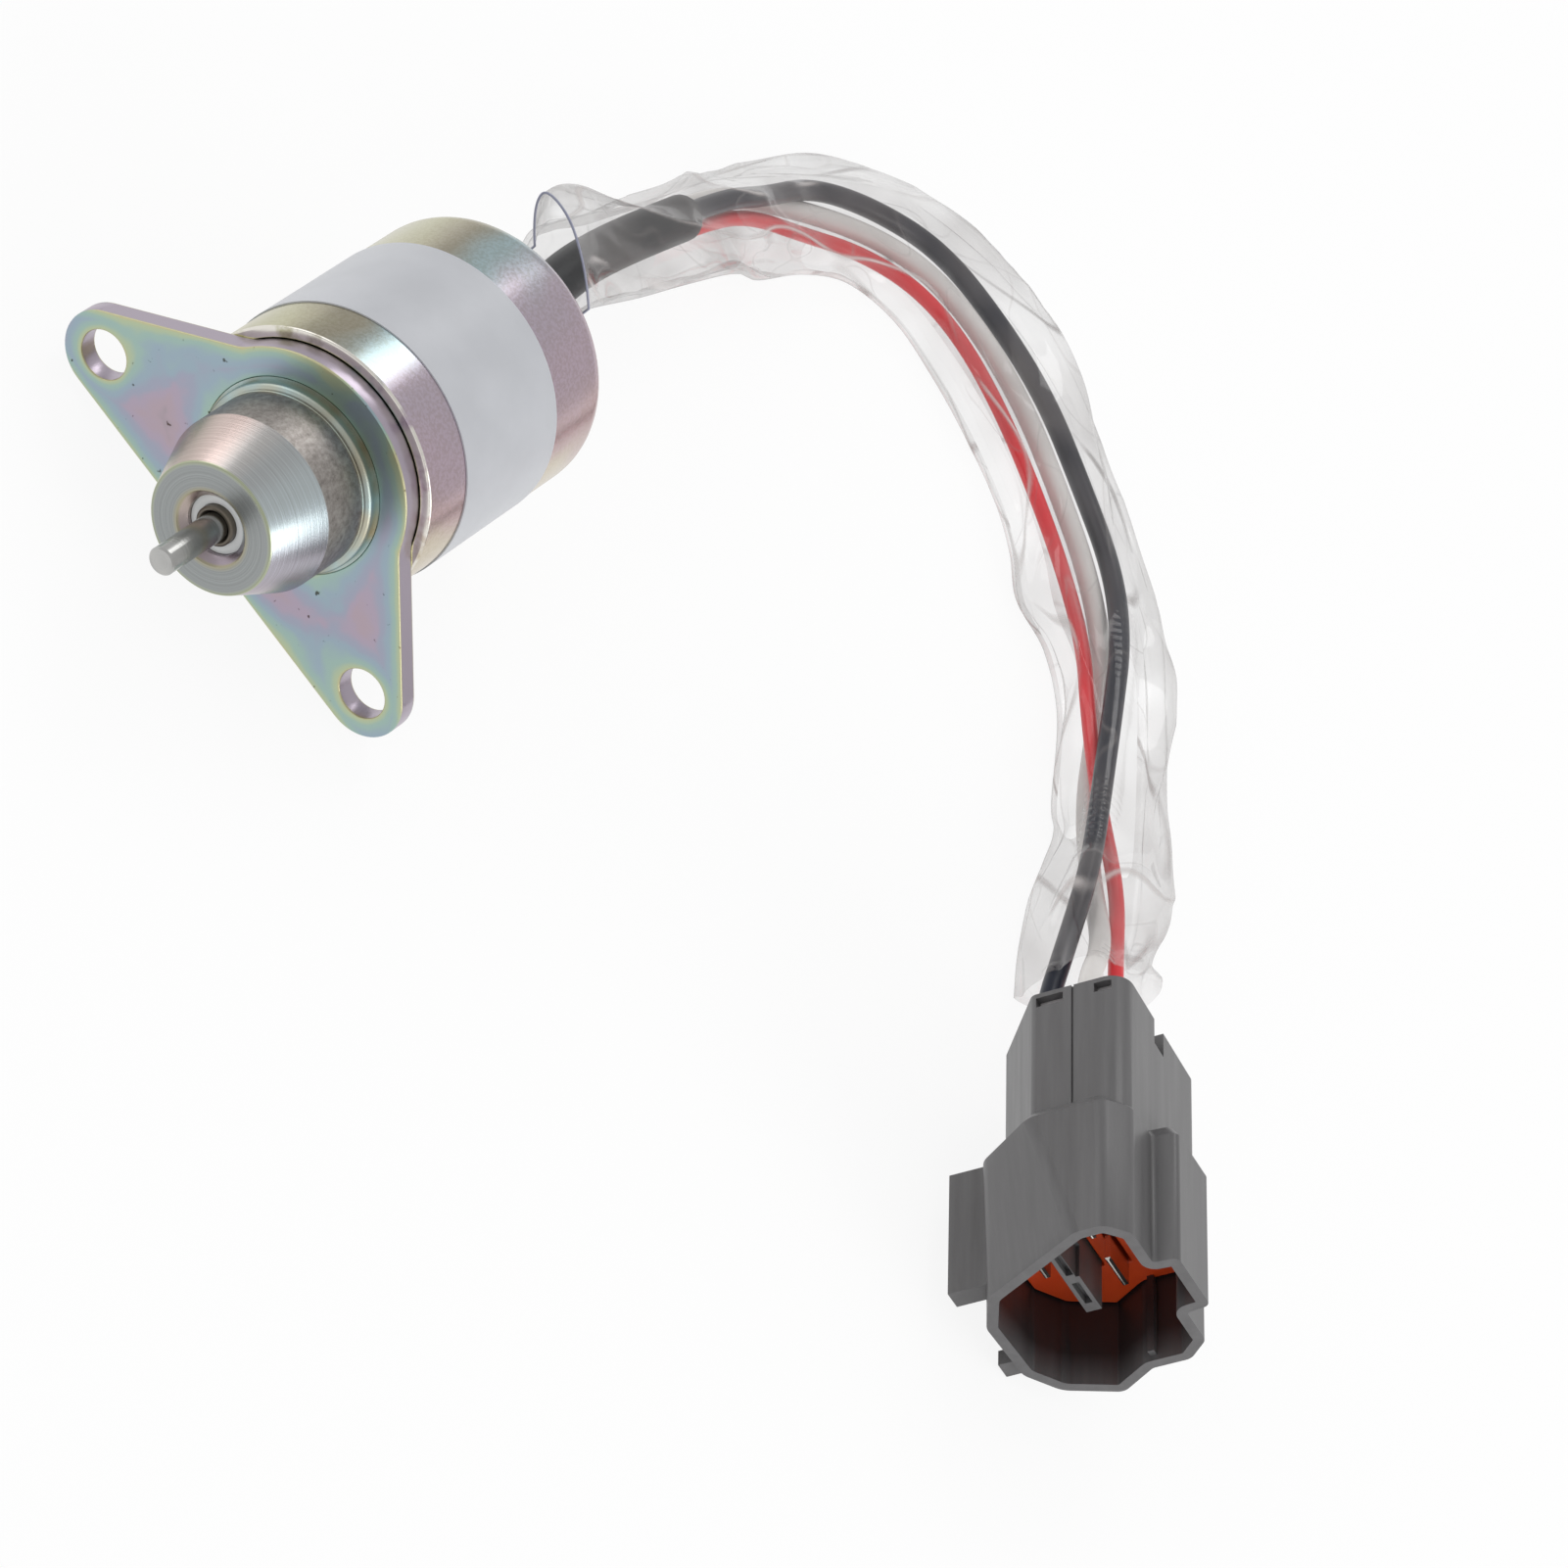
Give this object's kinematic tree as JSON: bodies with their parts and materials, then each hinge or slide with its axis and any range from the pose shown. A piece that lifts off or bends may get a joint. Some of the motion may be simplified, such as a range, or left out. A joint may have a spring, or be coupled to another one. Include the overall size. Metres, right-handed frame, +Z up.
{
  "type": "fuel shutoff solenoid",
  "caption": "Cylindrical plunger solenoid on a triangular two-ear flange, with a conical nose and push pin, a sleeved harness at the back and a sealed keyed connector.",
  "frame": {"origin": "on the plunger's axis, at the flange's front face", "axes": "+X runs out of the nose along the plunger's axis, +Y towards one ear of the flange, +Z up from the surface the part lies on"},
  "size_m": [0.1934, 0.1932, 0.0383],
  "materials": {
    "zinc_plate": "zinc plated with an iridescent passivation",
    "machined_steel": "fine turned",
    "plated_washer": "satin plated",
    "bushing_bronze": "oiled sintered metal",
    "spring_steel": "bright drawn wire",
    "tube_brass": "drawn",
    "bobbin_nylon": "moulded",
    "coil_wire": "enamelled copper wire",
    "black_rubber": "moulded",
    "shrink_tube": "satin shrunk sleeve",
    "label_film": "satin film, left bare",
    "black_insulation": "smooth",
    "white_insulation": "smooth",
    "red_insulation": "smooth",
    "clear_film": "creased clear vinyl",
    "grey_nylon": "moulded",
    "white_nylon": "moulded",
    "orange_silicone": "soft moulded",
    "tinned_brass": "bright tin"
  },
  "bodies": {
    "body": {"can": "zinc_plate", "mounting_flange": "zinc_plate", "nose": "machined_steel", "nose_washer": "plated_washer", "pin_bushing": "bushing_bronze", "return_spring": "spring_steel", "pole_piece": "machined_steel", "guide_tube": "tube_brass", "bobbin": "bobbin_nylon", "pull_coil": "coil_wire", "hold_coil": "coil_wire", "rear_plate": "machined_steel", "cable_grommet": "black_rubber", "heat_shrink": "shrink_tube", "label": "label_film", "black_wire": "black_insulation", "white_wire": "white_insulation", "red_wire": "red_insulation", "clear_sleeve": "clear_film", "connector_housing": "grey_nylon", "terminal_divider": "grey_nylon", "terminal_retainer": "white_nylon", "front_seal": "orange_silicone", "black_terminal": "tinned_brass", "white_terminal": "tinned_brass", "red_terminal": "tinned_brass", "black_wire_seal": "orange_silicone", "white_wire_seal": "orange_silicone", "red_wire_seal": "orange_silicone"},
    "plunger": {"plunger": "machined_steel", "plunger_pin": "machined_steel"}
  },
  "joints": [
    {"name": "plunger_slide", "type": "slide", "parent": "body", "child": "plunger", "axis": [1, 0, 0], "range_m": [-0.01, 0], "stiffness_N_per_m": 350, "springref_m": 0.006, "deforming": ["return_spring"]}
  ]
}
